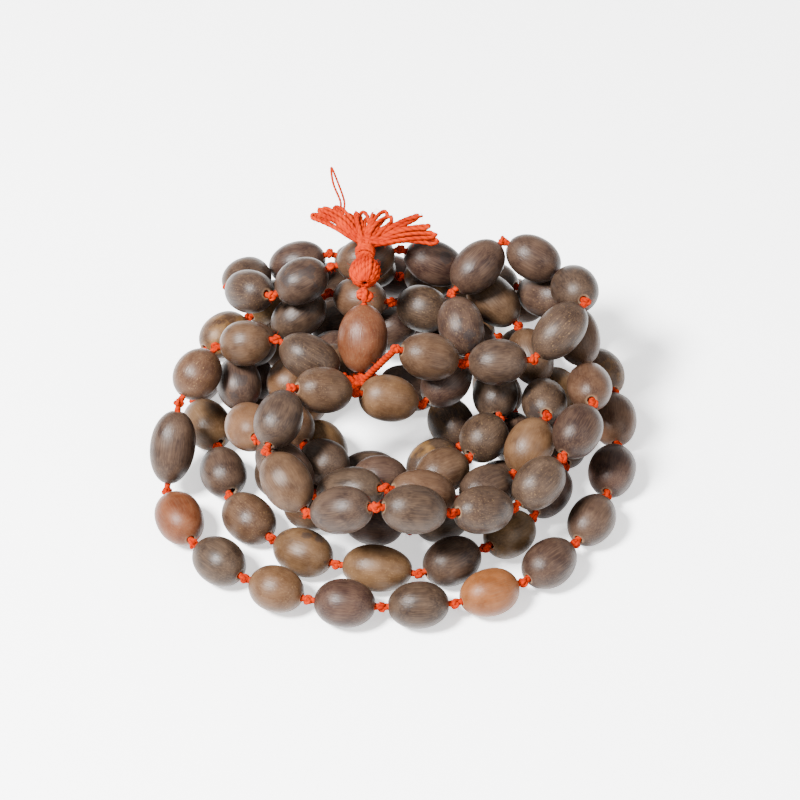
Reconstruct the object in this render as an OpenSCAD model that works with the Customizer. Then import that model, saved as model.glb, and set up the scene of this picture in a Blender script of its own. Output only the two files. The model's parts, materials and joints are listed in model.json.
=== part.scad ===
// Mala: 108 drilled lotus seeds and a guru bead on one knotted cotton thread, with a yarn tassel,
// laid down as a loose round heap. Millimetres, +Z up. The origin is on the table under the heap's centre.

/* [Part] */

/* [Beads] */
// Mean length of a counting bead along its hole
bead_l = 14.4; // [10:0.1:20]
// Largest diameter of a counting bead
bead_d = 10.9; // [8:0.1:14]
// How much smaller than that the thinnest bead is, as a share of it
bead_spread = 0.04; // [0:0.01:0.05]
// Length of the guru bead along its hole
guru_l = 15.5; // [11:0.1:22]
// Largest diameter of the guru bead
guru_d = 11.6; // [9:0.1:15]

/* [Thread and tassel] */
// Diameter of the thread
thread_d = 1.6; // [1.2:0.1:2]
// Diameter of the knot between two beads
knot_d = 2.5; // [2:0.1:3]
// Length of the tassel's skirt, from its neck to the loops at its end
skirt_l = 17; // [14:0.5:24]

/* [Hidden] */
bore_clearance = 0.05;      // between the thread and the wall of a bead's hole, on the radius
knot_clearance = 0.15;      // between a knot and the bead ends beside it
rest_gap = 0.6;             // least gap between two beads that lie on each other
steepest = 0.45;            // greatest rise from one knot to the next, as a share of the plan distance
plan_pitch = 17.2;          // distance in strand_plan that stands for one bead and one knot
least_share = 0.35;         // least share of a bead's length over which its free end is lifted
longest_bead = 1.15;        // length of the longest bead, as a share of the mean
hole_rim = 0.5;             // width of the flat ring round the mouth of a bead's hole
egg_share = 0.03;           // how much wider a bead's last-threaded half is, as a share of its radius
profile_steps = 16;         // bands along a bead's outline
tube_sides = 8;
thread_end_gap = 0.05;      // between one run of thread and the knot that ends the run before it
joining_d = 4.4;            // diameter of the joining knot
joining_offset = [4, 0, -2];    // from the strand's first knot to the joining knot
guru_slope = 44;            // rise of the guru bead's hole, degrees
guru_turn = 4;              // turn of the guru bead to the right, degrees
hanging_d = 4;              // diameter of the knot on top of the guru bead
head_d = 7.2;               // diameter of the tassel's head
head_out = 5.8;             // from the hanging knot out to the centre of the head
head_up = 1.8;              // from the hanging knot up to the centre of the head
neck_up = 3.4;              // from the hanging knot up to the neck's axis
neck_l = 2.4;
neck_d = 4.8;
neck_gap = 0.1;             // between the head and the neck, and between the neck and the skirt
skirt_top_d = 5;            // thickness of the skirt at the neck
skirt_end_d = 3.6;          // and at its end
skirt_rise = 1;             // from the neck up to the ends of the skirt
fan_angles = [-50, -18, 18, 50, 78];    // directions in the skirt, from straight back, degrees
hull_sides = 24;
stray_d = 1;                // thickness of the stray loop, both its strands together
stray_angle = -22;          // its direction in the skirt, degrees
stray_rise = 1;             // from the neck up to where it leaves the skirt
stray_route = [[0.2, 0], [1.5, 2], [2.5, 4.5], [3, 7]];     // out from the skirt's end, and up
seed_colour = "#5a463a";
guru_colour = "#b0683c";
thread_colour = "#e8501e";
tassel_colour = "#f0461c";
binding_colour = "#d83c18";
$fn = 48;

bore_r = thread_d / 2 + bore_clearance;
knot_gap = knot_d + 2 * knot_clearance;
plan_scale = (bead_l + knot_gap) / plan_pitch;
plan_centre = [2, -1];      // the middle of the heap in strand_plan

// The strand seen from above: the 109 points where its knots lie, from its first end to its last
strand_plan = [
    // beads 1 to 4: from the joining knot down the left of the heap
    [-10, -2], [-25, 3], [-39, 4], [-47, -7], [-50, -21],
    // 5 to 24: the outer turn on the table
    [-43, -36], [-31, -46], [-17, -52], [-1, -54], [15, -53], [30, -47], [42, -36], [50, -22],
    [53, -6], [53, 10],
    [49, 25], [39, 38], [25, 47], [9, 51], [-7, 51], [-22, 46], [-35, 37], [-44, 24], [-45, 8], [-39, -7],
    // 25 to 39: the middle turn
    [-36, -22], [-26, -35], [-11, -42], [7, -44], [22, -39], [33, -28], [40, -13], [42, 3],
    [39, 19], [27, 30],
    [12, 35], [-4, 37], [-20, 33], [-32, 23], [-33, 8],
    // 40 to 49: the inner turn
    [-26, -7], [-24, -22], [-11, -28], [5, -31], [20, -26], [29, -12], [30, 4], [22, 19], [8, 27], [-8, 27],
    // 50 to 56: across the middle
    [-20, 17], [-18, 1], [-12, -14], [4, -16], [17, -7], [13, 9], [-3, 12],
    // 57 to 66: over the inner turn
    [-19, 12], [-25, -2], [-19, -15], [-9, -26], [6, -27], [19, -19], [25, -6], [25, 9], [16, 22], [1, 26],
    // 67 to 81: between the inner and middle turns
    [-14, 29], [-28, 22], [-35, 9], [-33, -6], [-29, -21], [-16, -32], [0, -37], [16, -34],
    [28, -24], [36, -11],
    [36, 5], [31, 20], [19, 30], [3, 31], [-13, 28],
    // 82 to 96: back round the other way, between the middle and outer turns
    [-27, 22], [-38, 32], [-30, 45], [-14, 46], [3, 45], [18, 41], [32, 33], [42, 20], [46, 5], [46, -11],
    [39, -25], [28, -36], [14, -44], [-2, -47], [-17, -43],
    // 97 to 108: over the top, ending at the joining knot
    [-26, -30], [-21, -15], [-7, -10], [8, -7], [19, 4], [15, 19], [27, 30], [41, 24], [45, 9], [33, -2],
    [17, -3], [2, -5]
];
bead_count = len(strand_plan) - 1;

// The beads in the order they are laid down; bead 5 starts on the table, and the rest follow from either end
first_laid = 5;
lay_order = [each [first_laid : bead_count], each [first_laid - 1 : -1 : 1]];

plan_knots = [for (p = strand_plan) (p - plan_centre) * plan_scale];
plan_lengths = [for (bead = [1 : bead_count]) norm(plan_knots[bead] - plan_knots[bead - 1])];

// A bead's largest radius; bead 8 has the full diameter
function bead_r(bead) = bead_d / 2 * (1 - bead_spread * (1 - cos(137 * (bead - 8))) / 2);

// A bead as a row of balls along its axis: [share of the way from its first knot to its second, radius]
function ball_row(bead) =
    let (
        half_l = (plan_lengths[bead - 1] - knot_gap) / 2,
        r = bead_r(bead),
        focal = max(half_l * half_l - r * r, 0.1)
    )
    [for (k = [-3 : 3])
        let (along = k / 3 * focal / half_l)
        [0.5 + along / plan_lengths[bead - 1], r * sqrt(max(1 - along * along / focal, 0))]];
ball_rows = [for (bead = [1 : bead_count]) ball_row(bead)];

function plan_point(bead, share) = plan_knots[bead - 1] * (1 - share) + plan_knots[bead] * share;
function height_at(heights, bead, share) = heights[bead - 1] * (1 - share) + heights[bead] * share;
function near_in_plan(a, b) =
    norm(plan_point(a, 0.5) - plan_point(b, 0.5)) < (plan_lengths[a - 1] + plan_lengths[b - 1]) / 2;

// The beads already laid that a bead may lie on, its neighbours on the strand left out
function beads_under(heights, bead) = [
    for (other = [1 : bead_count])
        if (abs(other - bead) > 1 && is_num(heights[other - 1]) && is_num(heights[other])
            && near_in_plan(bead, other)) other
];

// Least height of each ball of a bead over the beads already laid: [share along the bead, height]
function least_heights(heights, bead) = [
    for (other = beads_under(heights, bead), mine = ball_rows[bead - 1], theirs = ball_rows[other - 1])
        let (
            reach = mine[1] + theirs[1] + rest_gap,
            apart = norm(plan_point(bead, mine[0]) - plan_point(other, theirs[0]))
        )
        if (apart < reach)
            [mine[0], height_at(heights, other, theirs[0]) + sqrt(reach * reach - apart * apart)]
];

// Height of the free knot of a bead laid down from its held knot, high enough for the beads that follow
function laid_height(heights, bead, up) =
    let (
        held = heights[up ? bead - 1 : bead],
        share_of = function (share) up ? share : 1 - share,
        own = [for (ball = least_heights(heights, bead))
            (ball[1] - (1 - share_of(ball[0])) * held) / max(share_of(ball[0]), least_share)],
        next = up ? bead + 1 : bead - 1,
        after = up ? bead + 2 : bead - 2,
        coming = next < 1 || next > bead_count ? [] : [for (ball = least_heights(heights, next))
            ball[1] - steepest * share_of(ball[0]) * plan_lengths[next - 1]],
        later = after < 1 || after > bead_count ? [] : [for (ball = least_heights(heights, after))
            ball[1] - steepest * (plan_lengths[next - 1] + share_of(ball[0]) * plan_lengths[after - 1])]
    )
    max(concat([bead_d / 2, held - steepest * plan_lengths[bead - 1]], own, coming, later));

// Lays the beads down one after another, each from the knot it shares with the bead before it
function lay(heights, step) =
    step == bead_count ? heights :
    let (
        bead = lay_order[step],
        up = bead >= first_laid,
        free_knot = up ? bead : bead - 1,
        height = laid_height(heights, bead, up)
    )
    lay([for (k = [0 : bead_count]) k == free_knot ? height : heights[k]], step + 1);
knot_heights = lay([for (k = [0 : bead_count]) k == first_laid - 1 ? bead_d / 2 : undef], 0);
knots = [for (k = [0 : bead_count]) [each plan_knots[k], knot_heights[k]]];

// Pieces of the strand

// The number of the first bead and of the last in each run of the strand
single_runs = [[1, 12], [97, 108]];
group_runs = [[13, 24], [25, 39], [40, 49], [50, 56], [57, 66], [67, 81], [82, 96]];
group_names = [
    "outer_turn_back", "middle_turn", "inner_turn", "centre_turn", "upper_inner_turn", "upper_middle_turn",
    "upper_outer_turn"
];
single_beads = [for (run = single_runs) each [run[0] : run[1]]];
thread_runs = [single_runs[0], each group_runs, single_runs[1]];
thread_names = ["thread_first_run", for (name = group_names) str("thread_", name), "thread_last_run"];

function bead_name(bead) = str("bead_", bead);
function bead_centre(bead) = (knots[bead - 1] + knots[bead]) / 2;
function knot_distance(bead) = norm(knots[bead] - knots[bead - 1]);
function bead_length(bead) = min(knot_distance(bead) - knot_gap, longest_bead * bead_l);

// Draws its children, which stand on the origin along +Z, at a point and turned along a direction
module along(point, direction) {
    translate(point)
        rotate([0, acos(direction.z / norm(direction)), atan2(direction.y, direction.x)])
            children();
}

// A drilled seed about the origin, its hole along Z
module seed(length, radius) {
    end_angle = acos((bore_r + hole_rim) / radius);
    outline = [
        for (step = [0 : profile_steps])
            let (angle = end_angle * (2 * step / profile_steps - 1))
            [radius * cos(angle) * (1 + egg_share * sin(angle)), length / 2 * sin(angle) / sin(end_angle)]
    ];
    rotate_extrude()
        polygon([[bore_r, -length / 2], each outline, [bore_r, length / 2]]);
}

module bead(number) {
    color(seed_colour)
        along(bead_centre(number), knots[number] - knots[number - 1])
            seed(bead_length(number), bead_r(number));
}

module bead_group(run) {
    for (number = [run[0] : run[1]])
        bead(number);
}

// A round tube through a row of stations, each [point, diameter]; it never runs along the reference direction
module tube(stations, reference) {
    last = len(stations) - 1;
    rings = [
        for (k = [0 : last])
            let (
                way = stations[min(k + 1, last)][0] - stations[max(k - 1, 0)][0],
                side = cross(way, reference) / norm(cross(way, reference)),
                top = cross(side, way) / norm(way)
            )
            [for (turn = [0 : tube_sides - 1])
                let (angle = 360 * turn / tube_sides)
                stations[k][0] + stations[k][1] / 2 * (cos(angle) * side + sin(angle) * top)]
    ];
    walls = [
        for (k = [0 : last - 1], turn = [0 : tube_sides - 1])
            let (a = k * tube_sides + turn, b = k * tube_sides + (turn + 1) % tube_sides)
            each [[a, b, b + tube_sides], [a, b + tube_sides, a + tube_sides]]
    ];
    start_cap = [for (turn = [tube_sides - 1 : -1 : 0]) turn];
    end_cap = [for (turn = [0 : tube_sides - 1]) last * tube_sides + turn];
    polyhedron([for (ring = rings) each ring], [start_cap, each walls, end_cap]);
}

function unit(v) = v / norm(v);
function bead_way(number) = unit(knots[number] - knots[number - 1]);

// The stations of a knot between thread that comes in one way and goes out another
function knot_stations(point, way_in, way_out) = [
    [point - knot_d / 2 * way_in, thread_d],
    [point, knot_d],
    [point + knot_d / 2 * way_out, thread_d]
];

// The thread through a run of beads, and the knot after each of them but the very last
module thread_run(run) {
    knot_end = knot_d / 2 + thread_end_gap;
    inner = [for (k = [run[0] : min(run[1], bead_count - 1)])
        each knot_stations(knots[k], bead_way(k), bead_way(k + 1))];
    outer = run[1] < bead_count ? [] : [[knots[bead_count] - knot_end * bead_way(bead_count), thread_d]];
    first = [knots[run[0] - 1] + knot_end * bead_way(run[0]), thread_d];
    color(thread_colour)
        tube([first, each inner, each outer], [0, 0, 1]);
}

// Guru bead and tassel

joining_point = knots[0] + joining_offset;
guru_way = [sin(guru_turn) * cos(guru_slope), cos(guru_turn) * cos(guru_slope), sin(guru_slope)];
function guru_point(distance) = joining_point + distance * guru_way;
guru_start = joining_d / 2 + knot_clearance;
hanging_distance = guru_start + guru_l + knot_clearance + hanging_d / 2;
hanging_point = guru_point(hanging_distance);

// A point in the tassel, from its hanging knot: across to the right, out to the back, and up
function tassel_point(across, out, up) = hanging_point + [across, out, up];

// A point in the skirt, from the end of the neck: along a direction in the fan, and up
neck_out = head_out + head_d / 2 + 2 * neck_gap + neck_l;
function skirt_point(angle, reach, up) =
    tassel_point(reach * sin(angle), neck_out + reach * cos(angle), neck_up + up);

module joining_knot() {
    color(thread_colour)
        translate(joining_point)
            sphere(d = joining_d);
}

// The bare ends of the strand, from the first and the last bead's knot to the joining knot
module joining_cord() {
    color(thread_colour)
        for (end = [[knots[0], -bead_way(1)], [knots[bead_count], bead_way(bead_count)]]) {
            way = unit(joining_point - end[0]);
            tube(
                [
                    each knot_stations(end[0], end[1], way),
                    [joining_point - (joining_d / 2 + thread_end_gap) * way, thread_d]
                ],
                [0, 0, 1]
            );
        }
}

module guru_thread() {
    color(thread_colour)
        along(guru_point(joining_d / 2 + thread_end_gap), guru_way)
            cylinder(h = hanging_distance - (joining_d + hanging_d) / 2 - 2 * thread_end_gap, d = thread_d);
}

module guru_bead() {
    color(guru_colour)
        along(guru_point(guru_start + guru_l / 2), guru_way)
            seed(guru_l, guru_d / 2);
}

module hanging_knot() {
    color(thread_colour)
        translate(hanging_point)
            sphere(d = hanging_d);
}

module tassel_head() {
    color(tassel_colour)
        translate(tassel_point(0, head_out, head_up))
            sphere(d = head_d);
}

// The turns of thread that bind the tassel's neck
module tassel_neck() {
    color(binding_colour)
        along(tassel_point(0, head_out + head_d / 2 + neck_gap, neck_up), [0, 1, 0])
            cylinder(h = neck_l, d = neck_d);
}

// The fan of yarn, as one closed solid
module tassel_skirt() {
    color(tassel_colour)
        hull() {
            translate(skirt_point(0, skirt_top_d / 2 + neck_gap, 0))
                sphere(d = skirt_top_d, $fn = hull_sides);
            for (angle = fan_angles)
                translate(skirt_point(angle, skirt_l - skirt_end_d / 2, skirt_rise))
                    sphere(d = skirt_end_d, $fn = hull_sides);
        }
}

module tassel_stray_loop() {
    stations = [for (p = stray_route) [skirt_point(stray_angle, skirt_l + p.x, stray_rise + p.y), stray_d]];
    color(tassel_colour)
        tube(stations, [1, 0, 0]);
}

for (number = single_beads)
    bead(number);
for (k = [0 : len(group_runs) - 1])
    bead_group(group_runs[k]);
for (k = [0 : len(thread_runs) - 1])
    thread_run(thread_runs[k]);
joining_knot();
joining_cord();
guru_thread();
guru_bead();
hanging_knot();
tassel_head();
tassel_neck();
tassel_skirt();
tassel_stray_loop();
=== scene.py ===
"""Looks of the mala: lotus seeds on knotted cotton thread, wound into a heap, with a yarn tassel."""

import json
import math
import random

import bpy
import numpy as np
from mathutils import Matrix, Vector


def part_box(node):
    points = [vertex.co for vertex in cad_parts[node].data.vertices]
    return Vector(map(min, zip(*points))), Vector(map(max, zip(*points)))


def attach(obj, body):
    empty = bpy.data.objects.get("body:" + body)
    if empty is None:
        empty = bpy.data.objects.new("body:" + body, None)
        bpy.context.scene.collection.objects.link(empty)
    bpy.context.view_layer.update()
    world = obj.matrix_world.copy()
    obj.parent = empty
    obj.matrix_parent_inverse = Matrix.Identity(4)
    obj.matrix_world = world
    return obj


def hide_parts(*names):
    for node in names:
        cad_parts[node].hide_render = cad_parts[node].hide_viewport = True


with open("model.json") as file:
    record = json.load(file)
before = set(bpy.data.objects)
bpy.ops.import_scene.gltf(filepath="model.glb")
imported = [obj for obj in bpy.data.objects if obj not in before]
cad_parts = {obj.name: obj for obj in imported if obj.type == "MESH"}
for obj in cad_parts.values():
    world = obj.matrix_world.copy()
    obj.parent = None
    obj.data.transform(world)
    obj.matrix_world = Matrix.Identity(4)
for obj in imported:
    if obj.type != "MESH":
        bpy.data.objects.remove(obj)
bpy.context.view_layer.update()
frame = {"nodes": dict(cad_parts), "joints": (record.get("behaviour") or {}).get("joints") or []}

MM = 0.001
UP = np.array([0.0, 0.0, 1.0])

# Camera: straight in front of the heap, looking down on it
CAMERA_ELEVATION = math.radians(46)
CAMERA_DISTANCE = 0.55
CAMERA_TARGET = np.array([1.0, 7.0, 8.0]) * MM
CAMERA_LENS = 105.75

FLOOR_DROP = 0.0001          # keeps the table just under the lowest beads

# Strand; like all sizes of the object, in millimetres
LAST_BEAD = 108
KNOT_HALF_GAP = 1.4          # from a knot's centre to the bead end beside it
KNOT_RADIUS = 1.32
KNOT_STRAND = 0.52           # radius of the strand that a knot is tied from
HOLE_RADIUS = 0.85
THREAD_RADIUS = 0.784
THREAD_PLY_TURN = 2.6        # length in which the plies of the thread go once round
THREAD_STEP = 0.45
BARE_CORD_RADIUS = 0.86
GURU_THREAD_RADIUS = 0.79
OVERHAND_STEPS = 48          # points along an overhand knot
FIBRE_RADIUS = 0.035         # of a loose fibre where it starts

# Tassel
OUT = np.array([0.0, 1.0, 0.0])     # the way from the hanging knot to the skirt
YARN_RADIUS = 0.52
YARN_PLY_TURN = 3.2
HEAD_RADIUS = 3.55
HEAD_STRANDS = 22
NECK_RADIUS = 1.9
BINDING_TURNS = 3
BINDING_STEPS = 24           # points in one turn of the binding
# Directions of the skirt's strands from straight back, degrees
FAN = [-52, -44, -36, -40, -30, -26, -20, -15, -12, -5, 0, 6, 12,
       20, 30, 42, 54, 62, 66, 72, 76, 80, 70, 58, 48, -48]
SHORT_FAN = (-25, 45)        # between these the strands are shorter
SINGLE_EVERY = 6             # one strand in so many is cut, the others are loops

# Dyed cotton in a brighter and a deeper tone that vary at random over the yarn, as linear light
THREAD_BRIGHT = (0.31, 0.019, 0.000, 1)
THREAD_DEEP = (0.19, 0.007, 0.000, 1)
TASSEL_BRIGHT = (0.34, 0.021, 0.000, 1)
TASSEL_DEEP = (0.22, 0.008, 0.000, 1)

# The runs of the strand: node of the thread, nodes of the beads in order, and the bead numbers
RUNS = [
    ("thread_first_run", [f"bead_{n}" for n in range(1, 13)], range(1, 13)),
    ("thread_outer_turn_back", ["beads_outer_turn_back"], range(13, 25)),
    ("thread_middle_turn", ["beads_middle_turn"], range(25, 40)),
    ("thread_inner_turn", ["beads_inner_turn"], range(40, 50)),
    ("thread_centre_turn", ["beads_centre_turn"], range(50, 57)),
    ("thread_upper_inner_turn", ["beads_upper_inner_turn"], range(57, 67)),
    ("thread_upper_middle_turn", ["beads_upper_middle_turn"], range(67, 82)),
    ("thread_upper_outer_turn", ["beads_upper_outer_turn"], range(82, 97)),
    ("thread_last_run", [f"bead_{n}" for n in range(97, 109)], range(97, 109)),
]


# ---------------------------------------------------------------- camera, floor and light

def make_camera():
    """The camera at the photograph's viewing angle."""
    data = bpy.data.cameras.new("camera")
    data.lens = CAMERA_LENS
    data.sensor_width = 36
    data.clip_start = 0.01
    camera = bpy.data.objects.new("camera", data)
    bpy.context.collection.objects.link(camera)
    back = np.array([0, -math.cos(CAMERA_ELEVATION), math.sin(CAMERA_ELEVATION)])
    camera.location = CAMERA_TARGET + CAMERA_DISTANCE * back
    camera.rotation_euler = (math.pi / 2 - CAMERA_ELEVATION, 0, 0)
    bpy.context.scene.camera = camera


def make_light(name, place, size, power):
    """A square soft light that faces the heap."""
    data = bpy.data.lights.new(name, "AREA")
    data.size = size
    data.energy = power
    light = bpy.data.objects.new(name, data)
    bpy.context.collection.objects.link(light)
    light.location = place
    aim = -np.array(place) / np.linalg.norm(place)
    light.rotation_euler = (math.acos(-aim[2]), 0, math.atan2(aim[1], aim[0]) - math.pi / 2)


def make_studio():
    """A plain white table, a bright room, a soft key light behind the camera on the left, and a weak fill."""
    bpy.ops.mesh.primitive_plane_add(size=4, location=(0, 0, -FLOOR_DROP))
    floor = bpy.context.object
    floor.name = "floor"
    white = bpy.data.materials.new("table_white")
    white.use_nodes = True
    shader = white.node_tree.nodes["Principled BSDF"]
    shader.inputs["Base Color"].default_value = (0.93, 0.93, 0.93, 1)
    shader.inputs["Roughness"].default_value = 0.7
    shader.inputs["Emission Color"].default_value = (1, 1, 1, 1)
    shader.inputs["Emission Strength"].default_value = 0.9
    floor.data.materials.append(white)
    world = bpy.data.worlds.new("room")
    world.use_nodes = True
    world.node_tree.nodes["Background"].inputs["Color"].default_value = (1, 1, 1, 1)
    world.node_tree.nodes["Background"].inputs["Strength"].default_value = 1.0
    bpy.context.scene.world = world
    make_light("key", place=(-0.42, -0.30, 0.75), size=0.20, power=52)
    make_light("fill", place=(0.6, -0.5, 0.5), size=0.6, power=5)


# ---------------------------------------------------------------- materials

def new_material(name):
    """A material, its shader, and short helpers that add and link nodes."""
    material = bpy.data.materials.new(name)
    material.use_nodes = True
    tree = material.node_tree
    shader = tree.nodes["Principled BSDF"]

    def add(kind, values=None, **settings):
        node = tree.nodes.new(kind)
        for key, value in settings.items():
            setattr(node, key, value)
        for key, value in (values or {}).items():
            node.inputs[key].default_value = value
        return node

    return material, shader, add, tree.links.new


def mix_colour(add, link, factor, first, second, blend="MIX"):
    """The result socket of a colour mix; each input is a socket or a value."""
    mix = add("ShaderNodeMix", data_type="RGBA", blend_type=blend)
    for socket, value in ((mix.inputs[0], factor), (mix.inputs[6], first), (mix.inputs[7], second)):
        if isinstance(value, bpy.types.NodeSocket):
            link(value, socket)
        else:
            socket.default_value = value
    return mix.outputs[2]


def value_ramp(add, link, source, low, high):
    """A socket that goes from 0 to 1 as the source goes from low to high."""
    spread = add("ShaderNodeMapRange", {"From Min": low, "From Max": high})
    link(source, spread.inputs["Value"])
    return spread.outputs["Result"]


def noise(add, link, place, scale, detail=3.0, stretch=(1, 1, 1)):
    """The value socket of a noise over a place socket, stretched along its axes."""
    mapping = add("ShaderNodeMapping")
    mapping.inputs["Scale"].default_value = stretch
    link(place, mapping.inputs["Vector"])
    texture = add("ShaderNodeTexNoise", {"Scale": scale, "Detail": detail})
    link(mapping.outputs["Vector"], texture.inputs["Vector"])
    return texture.outputs["Fac"]


def product(add, link, first, second):
    """The product of a socket and a socket or number."""
    times = add("ShaderNodeMath", operation="MULTIPLY")
    link(first, times.inputs[0])
    if isinstance(second, bpy.types.NodeSocket):
        link(second, times.inputs[1])
    else:
        times.inputs[1].default_value = second
    return times.outputs[0]


def seed_material():
    """Satin seed coat: striations along the hole, mottling, pale rings at the holes, specks and blemishes,
    and painted shade inside the holes.
    """
    material, shader, add, link = new_material("seed_coat")
    place = add("ShaderNodeAttribute", attribute_name="seed_place").outputs["Vector"]
    base = add("ShaderNodeAttribute", attribute_name="seed_colour").outputs["Color"]
    marks = add("ShaderNodeSeparateXYZ")
    link(add("ShaderNodeAttribute", attribute_name="seed_marks").outputs["Vector"], marks.inputs[0])
    rings = add("ShaderNodeSeparateXYZ")
    link(add("ShaderNodeAttribute", attribute_name="seed_rings").outputs["Vector"], rings.inputs[0])

    striation = noise(add, link, place, 1.0, 4, stretch=(3.6, 3.6, 0.16))
    fine = noise(add, link, place, 1.0, 2, stretch=(9, 9, 0.35))
    mottle = noise(add, link, place, 0.30, 4)
    speckle = noise(add, link, place, 3.0, 2)
    patch = noise(add, link, place, 0.22, 5)

    dark = mix_colour(add, link, 1.0, base, (0.62, 0.60, 0.60, 1), "MULTIPLY")
    light = mix_colour(add, link, 0.06, base, (0.30, 0.19, 0.11, 1))
    colour = mix_colour(add, link, value_ramp(add, link, mottle, 0.32, 0.68), dark, light)
    streaks = product(add, link, value_ramp(add, link, striation, 0.42, 0.72), 0.16)
    colour = mix_colour(add, link, streaks, colour, (0.16, 0.10, 0.06, 1))
    grain = product(add, link, value_ramp(add, link, fine, 0.52, 0.75), 0.22)
    colour = mix_colour(add, link, grain, colour, (0.06, 0.035, 0.025, 1))
    specks = product(add, link, value_ramp(add, link, speckle, 0.63, 0.70), marks.outputs["X"])
    colour = mix_colour(add, link, specks, colour, (0.26, 0.16, 0.07, 1))
    gold = product(add, link, value_ramp(add, link, patch, 0.50, 0.66), marks.outputs["Z"])
    colour = mix_colour(add, link, gold, colour, (0.22, 0.11, 0.03, 1))
    black = product(add, link, value_ramp(add, link, patch, 0.58, 0.62), marks.outputs["Y"])
    colour = mix_colour(add, link, black, colour, (0.015, 0.012, 0.012, 1))
    pale_ring = product(add, link, rings.outputs["X"], 0.5)
    colour = mix_colour(add, link, pale_ring, colour, (0.26, 0.17, 0.10, 1))
    # Painted shade: the inside of the hole is darkened almost to black, as if in shadow.
    painted_bore_shade = product(add, link, rings.outputs["Y"], 0.85)
    colour = mix_colour(add, link, painted_bore_shade, colour, (0.03, 0.02, 0.015, 1))
    link(colour, shader.inputs["Base Color"])

    rough = add("ShaderNodeMapRange", {"To Min": 0.30, "To Max": 0.46})
    link(mottle, rough.inputs["Value"])
    link(rough.outputs["Result"], shader.inputs["Roughness"])
    shader.inputs["Specular IOR Level"].default_value = 0.15
    relief = add("ShaderNodeBump", {"Strength": 0.5, "Distance": 0.00012})
    heights = add("ShaderNodeMath", operation="ADD")
    link(striation, heights.inputs[0])
    link(product(add, link, fine, 0.5), heights.inputs[1])
    link(heights.outputs[0], relief.inputs["Height"])
    link(relief.outputs["Normal"], shader.inputs["Normal"])
    return material


def cotton_material(name, bright, deep):
    """Matte dyed cotton in tones that vary at random, painted shade in the grooves between the plies, and a
    fine fibrous grain.
    """
    material, shader, add, link = new_material(name)
    place = add("ShaderNodeAttribute", attribute_name="yarn_place").outputs["Vector"]
    parts = add("ShaderNodeSeparateXYZ")
    link(place, parts.inputs[0])
    objects = add("ShaderNodeTexCoord").outputs["Object"]
    fibres = noise(add, link, place, 1.0, 3, stretch=(6, 1.2, 1))
    clouds = noise(add, link, objects, 260, 3)
    colour = mix_colour(add, link, value_ramp(add, link, clouds, 0.3, 0.7), deep, bright)
    # Painted shade: the grooves between the plies are darkened.
    grooves = value_ramp(add, link, parts.outputs["Z"], 0.0, 0.75)
    painted_groove_shade = mix_colour(add, link, 1.0, colour, (0.50, 0.34, 0.30, 1), "MULTIPLY")
    colour = mix_colour(add, link, grooves, painted_groove_shade, colour)
    pale = product(add, link, value_ramp(add, link, fibres, 0.56, 0.78), 0.35)
    colour = mix_colour(add, link, pale, colour, (0.44, 0.046, 0.000, 1))
    link(colour, shader.inputs["Base Color"])
    shader.inputs["Roughness"].default_value = 0.85
    shader.inputs["Specular IOR Level"].default_value = 0.03
    relief = add("ShaderNodeBump", {"Strength": 0.6, "Distance": 0.00012})
    link(fibres, relief.inputs["Height"])
    link(relief.outputs["Normal"], shader.inputs["Normal"])
    return material


# ---------------------------------------------------------------- mesh building

class MeshParts:
    """Gathers vertices, faces and named vertex attributes of several closed forms into one mesh."""

    def __init__(self):
        self.vertices = []
        self.faces = []
        self.attributes = {}
        self.count = 0

    def add(self, vertices, faces, attributes):
        self.vertices.append(np.asarray(vertices, float))
        self.faces.extend([tuple(int(i) + self.count for i in face) for face in faces])
        for key, values in attributes.items():
            self.attributes.setdefault(key, []).append(np.asarray(values, float))
        self.count += len(vertices)

    def build(self, name, material):
        """The finished object, in metres, with smooth shading."""
        mesh = bpy.data.meshes.new(name)
        mesh.from_pydata((np.concatenate(self.vertices) * MM).tolist(), [], self.faces)
        for key, parts in self.attributes.items():
            layer = mesh.attributes.new(key, "FLOAT_VECTOR", "POINT")
            layer.data.foreach_set("vector", np.concatenate(parts).astype(np.float32).ravel())
        mesh.polygons.foreach_set("use_smooth", [True] * len(mesh.polygons))
        mesh.materials.append(material)
        mesh.update()
        piece = bpy.data.objects.new(name, mesh)
        bpy.context.collection.objects.link(piece)
        return piece


def unit(vector):
    """The vector at length 1."""
    return np.asarray(vector, float) / np.linalg.norm(vector)


def random_way(rng):
    """A direction drawn evenly over the sphere."""
    return unit([rng.gauss(0, 1) for _ in range(3)])


def across(way):
    """Two unit vectors that stand square to a direction and to each other."""
    helper = UP if abs(way[2]) < 0.9 * np.linalg.norm(way) else np.array([1.0, 0, 0])
    side = unit(np.cross(way, helper))
    return side, unit(np.cross(side, way))


def ring_faces(rings, sides, closed_ends=True):
    """Quads between rings of vertices, and a cap at each end."""
    faces = []
    for ring in range(rings - 1):
        for turn in range(sides):
            a = ring * sides + turn
            b = ring * sides + (turn + 1) % sides
            faces.append((a, b, b + sides, a + sides))
    if closed_ends:
        faces.append(tuple(range(sides - 1, -1, -1)))
        faces.append(tuple(range((rings - 1) * sides, rings * sides)))
    return faces


def smooth_path(points, step):
    """Points a step apart on a smooth curve through the given points."""
    points = [np.asarray(p, float) for p in points]
    ends = [2 * points[0] - points[1], *points, 2 * points[-1] - points[-2]]
    path = []
    for k in range(1, len(ends) - 2):
        a, b, c, d = ends[k - 1:k + 3]
        pieces = max(1, round(float(np.linalg.norm(c - b)) / step))
        for n in range(pieces):
            t = n / pieces
            square = (2 * a - 5 * b + 4 * c - d) * t * t
            cube = (3 * b - a - 3 * c + d) * t ** 3
            path.append(0.5 * (2 * b + (c - a) * t + square + cube))
    path.append(ends[-2])
    return path


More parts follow.
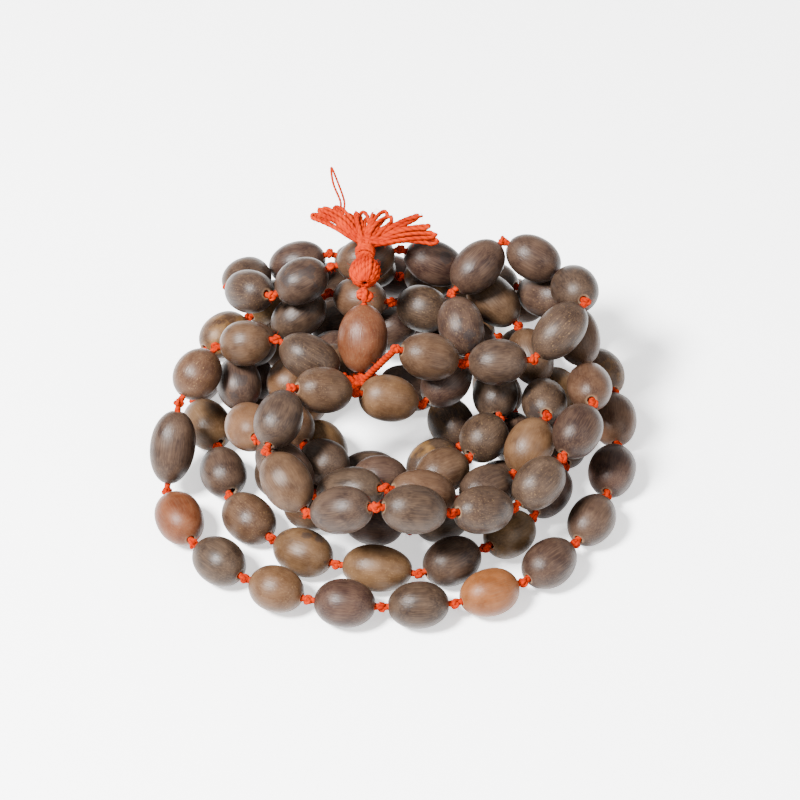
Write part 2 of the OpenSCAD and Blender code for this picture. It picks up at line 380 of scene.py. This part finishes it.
def add_yarn(parts, path, radius, ply_turn, plies=2, sides=10, taper=0, phase=0.0):
    """A closed tube along a path whose section is that of plies twisted round each other."""
    count = len(path)
    path = np.array(path)
    ways = np.gradient(path, axis=0)
    side, top = across(ways[0])
    run = 0.0
    vertices = []
    places = []
    for k in range(count):
        way = unit(ways[k])
        side = unit(side - np.dot(side, way) * way)
        top = np.cross(way, side)
        if k:
            run += float(np.linalg.norm(path[k] - path[k - 1]))
        end = min(k, count - 1 - k)
        width = radius * (0.55 + 0.45 * min(1.0, end / taper)) if taper else radius
        for turn in range(sides):
            angle = 2 * math.pi * turn / sides
            lobe = abs(math.cos(plies / 2 * (angle - 2 * math.pi * run / ply_turn) + phase))
            reach = width * (0.74 + 0.26 * lobe)
            vertices.append(path[k] + reach * (math.cos(angle) * side + math.sin(angle) * top))
            # The third value is high on the plies and low in the grooves; the cotton paints groove shade from
            # it.
            places.append((angle * radius + 7 * phase, run + 11 * phase, lobe))
    parts.add(vertices, ring_faces(count, sides), {"yarn_place": places})


def add_fibre(parts, start, way, length, rng):
    """One fine loose fibre that bends away from where it starts."""
    bend = np.array([rng.gauss(0, 1) for _ in range(3)])
    bend = unit(bend - np.dot(bend, way) * way)
    points = [start + length * (t * way + 0.55 * t * t * bend) for t in (0, 0.35, 0.7, 1.0)]
    vertices = []
    side, top = across(way)
    for k, point in enumerate(points):
        width = FIBRE_RADIUS * (1 - 0.22 * k)
        for turn in range(3):
            angle = 2 * math.pi * turn / 3
            vertices.append(point + width * (math.cos(angle) * side + math.sin(angle) * top))
    parts.add(vertices, ring_faces(4, 3), {"yarn_place": [(0, 0, 1)] * 12})


def add_fuzz(parts, centre, radius, count, length, rng):
    """Loose fibres that stand out of a knot all round."""
    for _ in range(count):
        way = random_way(rng)
        add_fibre(parts, centre + 0.8 * radius * way, way, length * rng.uniform(0.5, 1.2), rng)


def add_overhand(parts, centre, way, radius, strand, rng):
    """A tight overhand knot about a point on a thread that runs along a direction."""
    side, top = across(way)
    spin = rng.uniform(0, 2 * math.pi)
    turned = math.cos(spin) * side + math.sin(spin) * top
    top = math.cos(spin) * top - math.sin(spin) * side
    path = []
    reach = radius - strand
    for k in range(OVERHAND_STEPS + 1):
        t = 2 * math.pi * k / OVERHAND_STEPS
        x = (math.sin(t) + 2 * math.sin(2 * t)) / 3
        y = (math.cos(t) - 2 * math.cos(2 * t)) / 3
        z = -math.sin(3 * t) * 0.55
        path.append(centre + reach * (x * turned + y * top + z * unit(way)))
    add_yarn(parts, path, strand, THREAD_PLY_TURN, sides=8, phase=rng.uniform(0, 3))


# ---------------------------------------------------------------- seeds

SEED_SIDES = 56
SEED_BANDS = 34
SEED_FILL = 0.985            # size of a seed, as a share of its CAD bead's
SEED_END = 0.968             # how near the outline comes to a point before the hole cuts it off
SEED_POWER = 2.08            # 2 makes the outline an ellipse, more makes it blunter
SEED_SHRINK = 0.006          # keeps the swellings inside the CAD bead
RIM_WIDTH = 0.42
FLUTE_DEPTH = 0.0028
RING_WIDTH = 0.45            # width of the pale ring of fibres round a hole

# Observed coat colours, as linear light
COATS = {
    "grey": (0.020, 0.0110, 0.0080),
    "purple": (0.018, 0.0075, 0.0065),
    "brown": (0.036, 0.0165, 0.0080),
    "tan": (0.070, 0.0340, 0.0130),
    "red": (0.070, 0.0180, 0.0050),
    "orange": (0.130, 0.0380, 0.0080),
}
COAT_DRAW = ["grey", "grey", "purple", "brown", "brown", "grey", "tan"]

SPECK_DRAW = [0, 0, 0.25]
BLEMISH_DRAW = [0, 0, 0, 0, 0.6]
GOLD_DRAW = [0, 0, 0, 0, 0, 0.35]

# Beads whose colour is known: coat, specks, black blemish, golden patch
KNOWN_COATS = {
    1: ("grey", 0.2, 0, 0),
    2: ("brown", 0, 0, 0),
    3: ("brown", 0.3, 0, 0),
    4: ("grey", 0, 0, 0),
    5: ("red", 0, 0, 0),
    6: ("grey", 0, 0, 0),
    7: ("tan", 0.2, 0, 0),
    8: ("purple", 0, 0, 0),
    9: ("grey", 0, 0, 0),
    10: ("orange", 0, 0, 0),
    11: ("purple", 0, 0, 0),
    12: ("grey", 0, 0, 0),
    99: ("brown", 0.2, 0, 0),
    100: ("tan", 0.2, 0, 0),
    107: ("grey", 0, 0, 0),
    108: ("brown", 0, 0, 0),
}


def seed_form(length, radius, rng):
    """A drilled seed about the origin, hole along Z: vertices, faces and its own places in millimetres."""
    half = length / 2
    lumps = [(order, rng.uniform(0.002, 0.009), rng.uniform(0, 6.28)) for order in (2, 3, 5)]
    flutes = rng.randint(9, 14)
    flute_phase = rng.uniform(0, 6.28)
    egg = rng.uniform(-0.035, 0.035)
    bow = rng.uniform(0, 0.12)
    bow_way = rng.uniform(0, 6.28)
    bands = []
    for step in range(SEED_BANDS + 1):
        t = 2 * step / SEED_BANDS - 1
        t = math.sin(t * math.pi / 2)
        shell = math.sqrt(max(0.0, 1 - (abs(t) * SEED_END) ** SEED_POWER))
        reach = radius * SEED_FILL * shell * (1 + egg * t)
        bands.append((t * half * SEED_FILL, max(reach, HOLE_RADIUS + RIM_WIDTH), 0.0, 1.0))
    rim = [
        (half * SEED_FILL + 0.02, HOLE_RADIUS + 0.2, 1.0, 0.0),
        (half * 0.96, HOLE_RADIUS + 0.02, 1.0, 0.0),
    ]
    deep = [(half * 0.80, HOLE_RADIUS, 0.0, 0.0)]
    outline = bands + rim + deep + [(-z, r, ring, shape) for z, r, ring, shape in reversed(rim + deep)]
    vertices = []
    rings = []
    for z, r, ring, shaped in outline:
        for turn in range(SEED_SIDES):
            angle = 2 * math.pi * turn / SEED_SIDES
            swell = 0.0
            if shaped:
                swell = sum(size * math.cos(order * angle + phase + 0.2 * z) for order, size, phase in lumps)
                swell += FLUTE_DEPTH * math.cos(flutes * angle + flute_phase) * (1 - (z / half) ** 2)
                swell -= SEED_SHRINK
            x = r * (1 + swell) * math.cos(angle)
            y = r * (1 + swell) * math.sin(angle)
            offset = bow * 0.4 * (1 - (z / half) ** 2) if shaped else 0.0
            vertices.append((x + offset * math.cos(bow_way), y + offset * math.sin(bow_way), z))
            near_hole = max(0.0, 1 - (r - HOLE_RADIUS - 0.2) / RING_WIDTH) if shaped else ring
            # The second mark is the inside of the hole, which the coat darkens as painted shade.
            rings.append((near_hole, 1.0 if not shaped and not ring else 0.0, 0.0))
    faces = ring_faces(len(outline), SEED_SIDES, closed_ends=False)
    last = (len(outline) - 1) * SEED_SIDES
    for turn in range(SEED_SIDES):
        following = (turn + 1) % SEED_SIDES
        faces.append((last + turn, last + following, following, turn))
    return np.array(vertices), faces, np.array(rings)


def add_seed(parts, start, end, radius, number, coat=None):
    """One seed between the mouths of its hole, in its own coat."""
    rng = random.Random(1000 + number)
    centre = (start + end) / 2
    way = unit(end - start)
    side, top = across(way)
    local, faces, rings = seed_form(float(np.linalg.norm(end - start)), radius, rng)
    vertices = centre + local[:, :1] * side + local[:, 1:2] * top + local[:, 2:] * way
    drawn = (rng.choice(COAT_DRAW), rng.choice(SPECK_DRAW), rng.choice(BLEMISH_DRAW), rng.choice(GOLD_DRAW))
    name, specks, blemish, gold = coat or KNOWN_COATS.get(number, drawn)
    shade = rng.uniform(0.8, 1.25)
    colour = [channel * shade * rng.uniform(0.94, 1.06) for channel in COATS[name]]
    attributes = {
        "seed_place": local + 31.7 * number,
        "seed_colour": np.tile(colour, (len(local), 1)),
        "seed_marks": np.tile((specks, blemish, gold), (len(local), 1)),
        "seed_rings": rings,
    }
    parts.add(vertices, faces, attributes)


# ---------------------------------------------------------------- reading the beads from the CAD meshes

def node_points(name):
    """The corners of a CAD node's mesh, in millimetres, and its faces."""
    mesh = frame["nodes"][name].data
    points = np.empty(len(mesh.vertices) * 3)
    mesh.vertices.foreach_get("co", points)
    return points.reshape(-1, 3) / MM, [tuple(polygon.vertices) for polygon in mesh.polygons]


def node_middle(name):
    """The middle of a node's box, in millimetres."""
    low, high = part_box(name)
    return (np.array(low) + np.array(high)) / 2 / MM


def loose_parts(name):
    """The separate solids of a CAD node, each as an array of corners."""
    points, faces = node_points(name)
    places, inverse = np.unique(np.round(points, 4), axis=0, return_inverse=True)
    inverse = inverse.ravel()
    owner = list(range(len(places)))

    def root(k):
        while owner[k] != k:
            owner[k] = owner[owner[k]]
            k = owner[k]
        return k

    for face in faces:
        first = root(inverse[face[0]])
        for corner in face[1:]:
            owner[root(inverse[corner])] = first
    groups = {}
    for k in range(len(places)):
        groups.setdefault(root(k), []).append(k)
    return [places[members] for members in groups.values()]


def bead_ends(corners):
    """The middles of the two mouths of a bead's hole, and its largest radius."""
    centre = (corners.min(axis=0) + corners.max(axis=0)) / 2
    way = corners[np.argmax(np.linalg.norm(corners - centre, axis=1))] - centre
    for _ in range(4):
        ends = []
        for sense in (-1, 1):
            far = (corners - centre) @ unit(way) * sense
            mouth = corners[far > far.max() - 0.25]
            ends.append((mouth.min(axis=0) + mouth.max(axis=0)) / 2)
        centre = (ends[0] + ends[1]) / 2
        way = ends[1] - ends[0]
    return bead_span(corners, centre, unit(way))


def bead_span(corners, centre, way):
    """Start and end of a bead along its axis, and its largest radius."""
    offsets = corners - centre
    distances = offsets @ way
    radius = np.linalg.norm(offsets - np.outer(distances, way), axis=1).max()
    return centre + distances.min() * way, centre + distances.max() * way, float(radius)


def single_bead(name):
    """Start, end and radius of a bead that turns on a joint of its own."""
    joint = next(joint for joint in frame["joints"] if joint["child"] == f"{name}_body")
    points, _ = node_points(name)
    return bead_span(points, np.array(joint["pos_m"]) / MM, unit(joint["axis"]))


def read_strand():
    """Every bead of the strand in order: start and end of its hole, and radius, by bead number."""
    strand = {}
    tail = node_middle("joining_cord")
    for _, nodes, numbers in RUNS:
        if len(nodes) > 1:
            waiting = [single_bead(node) for node in nodes]
        else:
            waiting = [bead_ends(part) for part in loose_parts(nodes[0])]
        if len(waiting) != len(numbers):
            raise SystemExit(f"{nodes[0]}: {len(waiting)} beads found, {len(numbers)} expected")
        for number in numbers:
            gaps = [min(np.linalg.norm(a - tail), np.linalg.norm(b - tail)) for a, b, _ in waiting]
            nearest = 0 if len(nodes) > 1 else int(np.argmin(gaps))
            start, end, radius = waiting.pop(nearest)
            if np.linalg.norm(end - tail) < np.linalg.norm(start - tail):
                start, end = end, start
            strand[number] = (start, end, radius)
            tail = end
    return strand


# ---------------------------------------------------------------- pieces

def place_piece(parts, name, material, body, slot, *nodes):
    """Builds a piece that rides with a body and stands in for CAD nodes."""
    piece = parts.build(name, material)
    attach(piece, body)
    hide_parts(*nodes)


def make_seeds(strand, seed_coat):
    """The counting beads: one by one where each has its own joint, and otherwise by turns of the heap."""
    for _, nodes, numbers in RUNS:
        if len(nodes) > 1:
            for node, number in zip(nodes, numbers):
                parts = MeshParts()
                add_seed(parts, *strand[number], number)
                place_piece(parts, f"seed_{number}", seed_coat, f"bead_{number}_body", "seed", node)
        else:
            parts = MeshParts()
            for number in numbers:
                add_seed(parts, *strand[number], number)
            place_piece(parts, nodes[0].replace("beads", "seeds"), seed_coat, "heap", "seed", nodes[0])


def knot_after(strand, number):
    """The knot after a bead, between the mouths of the two holes beside it."""
    start, end, _ = strand[number]
    before = end + KNOT_HALF_GAP * unit(end - start)
    if number == LAST_BEAD:
        return before
    start, end, _ = strand[number + 1]
    after = start - KNOT_HALF_GAP * unit(end - start)
    return (before + after) / 2


def knot_places(strand):
    """Every knot by the number of the bead before it; knot 0 is at the strand's first end."""
    knots = {number: knot_after(strand, number) for number in strand}
    start, end, _ = strand[1]
    knots[0] = start - KNOT_HALF_GAP * unit(end - start)
    return knots


def make_threads(strand, knots, cotton):
    """The thread through each run of beads, with a knot after every bead."""
    for thread_node, _, numbers in RUNS:
        rng = random.Random(numbers[0])
        parts = MeshParts()
        for number in numbers:
            start, end = knots[number - 1], knots[number]
            steps = max(2, round(float(np.linalg.norm(end - start)) / THREAD_STEP))
            path = [start + (end - start) * k / steps for k in range(steps + 1)]
            add_yarn(parts, path, THREAD_RADIUS, THREAD_PLY_TURN, sides=10, phase=rng.uniform(0, 3))
            if number < LAST_BEAD:
                way = strand[number][1] - strand[number][0]
                add_overhand(parts, knots[number], way, KNOT_RADIUS, KNOT_STRAND, rng)
                add_fuzz(parts, knots[number], 1.25, 9, 1.1, rng)
        place_piece(parts, f"{thread_node}_yarn", cotton, "heap", "cotton", thread_node)


def make_joining_knot(joining, rng, cotton):
    """The large knot that joins the strand's two ends: three loops pulled tight over each other."""
    parts = MeshParts()
    for _ in range(3):
        tilt = random_way(rng)
        add_overhand(parts, joining + 0.25 * tilt, tilt, 2.25, 0.78, rng)
    add_fuzz(parts, joining, 2.1, 46, 1.5, rng)
    place_piece(parts, "joining_knot_wraps", cotton, "heap", "cotton", "joining_knot")


def make_joining_cord(joining, ends, rng, cotton):
    """The bare ends of the strand, each from its last small knot to the joining knot."""
    parts = MeshParts()
    for end in ends:
        add_overhand(parts, end, end - joining, KNOT_RADIUS, KNOT_STRAND, rng)
        middle = (end + joining) / 2
        add_yarn(parts, smooth_path([end, middle, joining], 0.4), BARE_CORD_RADIUS, THREAD_PLY_TURN, sides=12)
        add_fuzz(parts, middle, 0.9, 14, 1.2, rng)
    place_piece(parts, "joining_cord_yarn", cotton, "heap", "cotton", "joining_cord")


def make_guru(joining, hanging, seed_coat, cotton):
    """The guru bead, and the thread through it from the joining knot to the hanging knot."""
    parts = MeshParts()
    add_seed(parts, *single_bead("guru_bead"), 4, coat=("red", 0.15, 0, 0))
    place_piece(parts, "guru_seed", seed_coat, "guru_bead_body", "guru_seed", "guru_bead")
    guru_way = unit(hanging - joining)
    parts = MeshParts()
    route = [joining + 2.0 * guru_way, (joining + hanging) / 2, hanging - 1.8 * guru_way]
    add_yarn(parts, smooth_path(route, 0.45), GURU_THREAD_RADIUS, THREAD_PLY_TURN)
    place_piece(parts, "guru_thread_yarn", cotton, "guru_line", "cotton", "guru_thread")


# ---------------------------------------------------------------- tassel

def make_hanging_knot(hanging, rng, cotton):
    """The knot on top of the guru bead."""
    parts = MeshParts()
    for _ in range(2):
        add_overhand(parts, hanging, random_way(rng), 2.05, 0.62, rng)
    add_fuzz(parts, hanging, 1.9, 26, 1.3, rng)
    place_piece(parts, "hanging_knot_wraps", cotton, "tassel", "cotton", "hanging_knot")


def make_tassel_head(head, neck, rng, cotton):
    """The round head: strands of yarn that bow out from the hanging knot and draw in to the neck."""
    parts = MeshParts()
    for k in range(HEAD_STRANDS):
        angle = 2 * math.pi * k / HEAD_STRANDS + rng.uniform(-0.08, 0.08)
        side = np.array([math.cos(angle), 0, math.sin(angle)])
        width = (HEAD_RADIUS - 0.45) * rng.uniform(0.93, 1.02)
        path = []
        for t in np.linspace(0.06, 0.86, 12):
            bend = math.pi * t
            turned = angle + 0.25 * math.sin(bend)
            sideways = np.array([math.cos(turned), 0, math.sin(turned)])
            path.append(head - OUT * HEAD_RADIUS * math.cos(bend) + width * math.sin(bend) * sideways)
        path.append(neck - OUT * 1.2 + (NECK_RADIUS - 0.3) * side)
        add_yarn(parts, smooth_path(path, 0.5), 0.56, YARN_PLY_TURN, phase=rng.uniform(0, 3))
    for _ in range(90):
        way = random_way(rng)
        add_fibre(parts, head + 3.3 * way, way, rng.uniform(0.6, 1.5), rng)
    place_piece(parts, "tassel_head_yarn", cotton, "tassel", "cotton", "tassel_head")


def make_tassel_neck(neck, rng, cotton):
    """The turns of thread that bind the neck, and the yarn inside them."""
    parts = MeshParts()
    path = []
    for k in range(BINDING_STEPS * BINDING_TURNS + 1):
        angle = 2 * math.pi * k / BINDING_STEPS
        place = neck + OUT * (-0.95 + 1.9 * k / (BINDING_STEPS * BINDING_TURNS))
        path.append(place + 1.95 * np.array([math.cos(angle), 0, math.sin(angle)]))
    add_yarn(parts, path, 0.42, 2.2, sides=8)
    add_yarn(parts, [neck - 1.2 * OUT, neck, neck + 1.2 * OUT], 1.75, 6, sides=14)
    add_fuzz(parts, neck, 2.2, 20, 1.0, rng)
    place_piece(parts, "tassel_neck_binding", cotton, "tassel", "cotton", "tassel_neck")


def skirt_strand(neck, angle, reach, lift, rng):
    """A row of points from the neck out to a strand's end in the fan."""
    start_angle = rng.uniform(0, 2 * math.pi)
    start_reach = 1.5 * math.sqrt(rng.random())
    root = neck + OUT * 1.0 + start_reach * np.array([math.cos(start_angle), 0, math.sin(start_angle)])
    way = np.array([math.sin(angle), math.cos(angle), 0])
    sway = np.array([math.cos(angle), -math.sin(angle), 0])
    bend = rng.uniform(-1.2, 1.2)
    points = [root, root + OUT * 1.6]
    for t in (0.3, 0.5, 0.7, 0.87, 1.0):
        height = lift * t + 1.3 * math.sin(math.pi * t)
        points.append(neck + OUT * 1.2 + way * reach * t + sway * bend * math.sin(2.6 * t) + UP * height)
    return points


def make_tassel_skirt(neck, rng, cotton):
    """The fan of yarn: mostly uncut loops, each out along one strand and home along another."""
    parts = MeshParts()
    for k, degrees in enumerate(FAN):
        angle = math.radians(degrees + rng.uniform(-3, 3))
        short = 0.72 if SHORT_FAN[0] < degrees < SHORT_FAN[1] else 1.0
        reach = rng.uniform(13.5, 16.5) * short
        lift = rng.uniform(-0.6, 2.2)
        outward = skirt_strand(neck, angle, reach, lift, rng)
        home_angle = angle + rng.uniform(0.05, 0.11)
        home_reach = reach * rng.uniform(0.93, 1.0)
        home_lift = lift + rng.uniform(-0.5, 0.5)
        homeward = skirt_strand(neck, home_angle, home_reach, home_lift, rng)
        tip = (outward[-1] + homeward[-1]) / 2 + np.array([math.sin(angle), math.cos(angle), 0.1])
        if k % SINGLE_EVERY == SINGLE_EVERY - 1:
            path = smooth_path(outward, 0.5)
            add_yarn(parts, path, YARN_RADIUS, YARN_PLY_TURN, taper=3, phase=rng.uniform(0, 3))
        else:
            path = smooth_path([*outward, tip, *reversed(homeward)], 0.5)
            add_yarn(parts, path, YARN_RADIUS, YARN_PLY_TURN, phase=rng.uniform(0, 3))
        for point in outward[2:]:
            for _ in range(4):
                way = random_way(rng)
                add_fibre(parts, point + 0.4 * way, way, rng.uniform(0.6, 1.6), rng)
    place_piece(parts, "tassel_skirt_yarn", cotton, "tassel", "cotton", "tassel_skirt")


def make_stray_loop(cotton):
    """The one thin loop of yarn that stands up out of the skirt."""
    low, high = [np.array(corner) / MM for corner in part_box("tassel_stray_loop")]
    foot = np.array([high[0], low[1], low[2]])
    tip = np.array([low[0], high[1], high[2]])
    middle = (foot + tip) / 2
    root = foot - np.array([0, 3.0, 0.6])
    outward = [root, foot, middle + [-0.6, 0, 0.3], tip]
    homeward = [middle + [0.7, 0, -0.2], foot + [0.9, 0, 0], root + [0.8, 0, 0]]
    parts = MeshParts()
    add_yarn(parts, smooth_path(outward + homeward, 0.35), 0.3, 1.8, sides=8)
    place_piece(parts, "tassel_stray_loop_yarn", cotton, "tassel", "cotton", "tassel_stray_loop")


# ---------------------------------------------------------------- build

make_camera()
make_studio()
seed_coat = seed_material()
thread_cotton = cotton_material("thread_cotton", THREAD_BRIGHT, THREAD_DEEP)
tassel_cotton = cotton_material("tassel_cotton", TASSEL_BRIGHT, TASSEL_DEEP)

strand = read_strand()
knots = knot_places(strand)
joining = node_middle("joining_knot")
hanging = node_middle("hanging_knot")
make_seeds(strand, seed_coat)
make_threads(strand, knots, thread_cotton)
joining_rng = random.Random(7)
make_joining_knot(joining, joining_rng, thread_cotton)
make_joining_cord(joining, (knots[0], knots[LAST_BEAD]), joining_rng, thread_cotton)
make_guru(joining, hanging, seed_coat, thread_cotton)

head = node_middle("tassel_head")
neck = node_middle("tassel_neck")
tassel_rng = random.Random(21)
make_hanging_knot(hanging, tassel_rng, tassel_cotton)
make_tassel_head(head, neck, tassel_rng, tassel_cotton)
make_tassel_neck(neck, tassel_rng, tassel_cotton)
make_tassel_skirt(neck, tassel_rng, tassel_cotton)
make_stray_loop(tassel_cotton)
